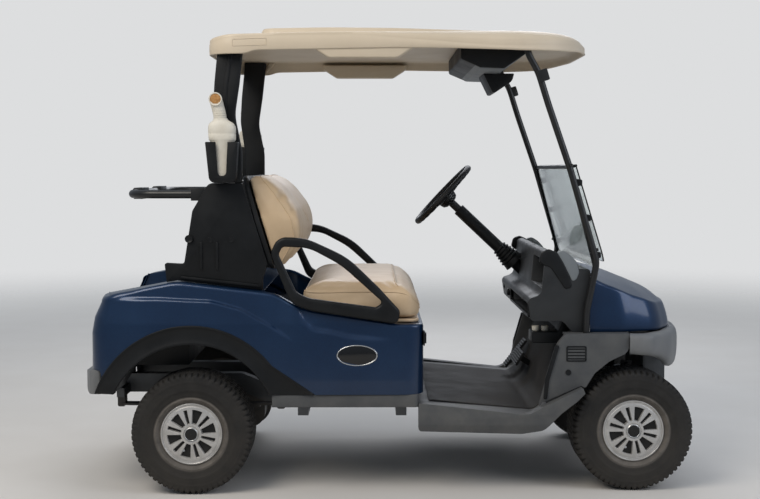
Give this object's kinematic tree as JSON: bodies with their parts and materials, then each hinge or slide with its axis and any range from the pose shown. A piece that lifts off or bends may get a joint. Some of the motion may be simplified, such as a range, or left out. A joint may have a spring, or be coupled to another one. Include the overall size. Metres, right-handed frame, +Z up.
{
  "type": "golf cart",
  "caption": "Two-seat electric golf cart with a moulded roof, folded clear windshield, slotted wheel caps, hip restraints and bag rack.",
  "frame": {"origin": "on the ground, under the middle of the length and width", "axes": "+X forward, +Y to the driver's side (left), +Z up"},
  "size_m": [2.3235, 1.1918, 1.7459],
  "materials": {
    "body_paint": "metallic navy under clear coat, soft reflections",
    "roof_plastic": "moulded beige plastic, satin",
    "bumper_plastic": "charcoal grained plastic",
    "trim_plastic": "black grained plastic",
    "dash_plastic": "dark grey moulded plastic",
    "seat_vinyl": "tan vinyl with a fine grain",
    "tyre_rubber": "worn brownish black rubber",
    "wheel_silver": "silver painted cap over a silver rim",
    "frame_aluminium": "dull extruded aluminium",
    "axle_steel": "black painted steel",
    "motor_case": "black painted case",
    "battery_case": "black moulded cases",
    "strut_paint": "black powder coat",
    "clear_pane": "clear acrylic pane",
    "bottle_plastic": "milky polythene"
  },
  "bodies": {
    "chassis": {"frame": "frame_aluminium", "front_suspension": "axle_steel", "rack_housing": "axle_steel", "steering_column": "trim_plastic", "rear_axle": "axle_steel", "rear_springs": "axle_steel", "motor": "motor_case", "batteries": "battery_case", "floor_pan": "bumper_plastic", "rear_body": "body_paint", "arch_trims": "trim_plastic", "sills": "bumper_plastic", "bag_well": "trim_plastic", "rear_bumper": "bumper_plastic", "front_cowl": "body_paint", "front_bumper": "bumper_plastic", "front_fenders": "bumper_plastic", "dashboard": "dash_plastic", "pedals": "strut_paint", "seat_back_cushion": "seat_vinyl", "seat_back_shell": "trim_plastic", "armrests": "trim_plastic", "side_panels": "trim_plastic", "rear_struts": "trim_plastic", "front_struts": "strut_paint", "windshield": "clear_pane", "windshield_rails": "trim_plastic", "canopy": "roof_plastic", "overhead_console": "trim_plastic", "display": "trim_plastic", "bag_rack": "strut_paint", "bottle_holders": "trim_plastic", "bottles": "bottle_plastic"},
    "seat_bottom": {"seat_bottom_pan": "trim_plastic", "seat_bottom_cushion": "seat_vinyl"},
    "helm": {"steering_wheel": "trim_plastic"},
    "rack": {"steering_rack": "axle_steel"},
    "steer_left": {"knuckle_left": "axle_steel"},
    "steer_right": {"knuckle_right": "axle_steel"},
    "roll_front_left": {"tyre_front_left": "tyre_rubber", "wheel_front_left": "wheel_silver"},
    "roll_front_right": {"tyre_front_right": "tyre_rubber", "wheel_front_right": "wheel_silver"},
    "roll_rear_left": {"tyre_rear_left": "tyre_rubber", "wheel_rear_left": "wheel_silver"},
    "roll_rear_right": {"tyre_rear_right": "tyre_rubber", "wheel_rear_right": "wheel_silver"}
  },
  "joints": [
    {"name": "seat_hinge", "type": "hinge", "parent": "chassis", "child": "seat_bottom", "pos_m": [-0.344, 0, 0.646], "axis": [0, -1, 0], "range_deg": [0, 50]},
    {"name": "helm_turn", "type": "hinge", "parent": "chassis", "child": "helm", "pos_m": [0.242, 0.28, 1.106], "axis": [-0.7278, 0, 0.6858], "range_deg": [-360, 360]},
    {"name": "rack_slide", "type": "slide", "parent": "chassis", "child": "rack", "axis": [0, 1, 0], "range_m": [-0.0555, 0.0555]},
    {"name": "knuckle_left_turn", "type": "hinge", "parent": "chassis", "child": "steer_left", "pos_m": [0.92, 0.3, 0.2285], "axis": [0, 0, 1], "range_deg": [-30, 30]},
    {"name": "knuckle_right_turn", "type": "hinge", "parent": "chassis", "child": "steer_right", "pos_m": [0.92, -0.3, 0.2285], "axis": [0, 0, 1], "range_deg": [-30, 30]},
    {"name": "front_left_roll", "type": "hinge", "parent": "steer_left", "child": "roll_front_left", "pos_m": [0.92, 0.438, 0.2285], "axis": [0, 1, 0], "continuous": true},
    {"name": "rear_left_roll", "type": "hinge", "parent": "chassis", "child": "roll_rear_left", "pos_m": [-0.744, 0.489, 0.2285], "axis": [0, 1, 0], "continuous": true},
    {"name": "front_right_roll", "type": "hinge", "parent": "steer_right", "child": "roll_front_right", "pos_m": [0.92, -0.438, 0.2285], "axis": [0, 1, 0], "continuous": true},
    {"name": "rear_right_roll", "type": "hinge", "parent": "chassis", "child": "roll_rear_right", "pos_m": [-0.744, -0.489, 0.2285], "axis": [0, 1, 0], "continuous": true}
  ],
  "couplings": [
    {"joint": "knuckle_left_turn", "follows": "helm_turn", "ratio": 0.083333},
    {"joint": "knuckle_right_turn", "follows": "helm_turn", "ratio": 0.083333},
    {"joint": "rack_slide", "follows": "helm_turn", "m_per_rad": -0.0087535}
  ]
}
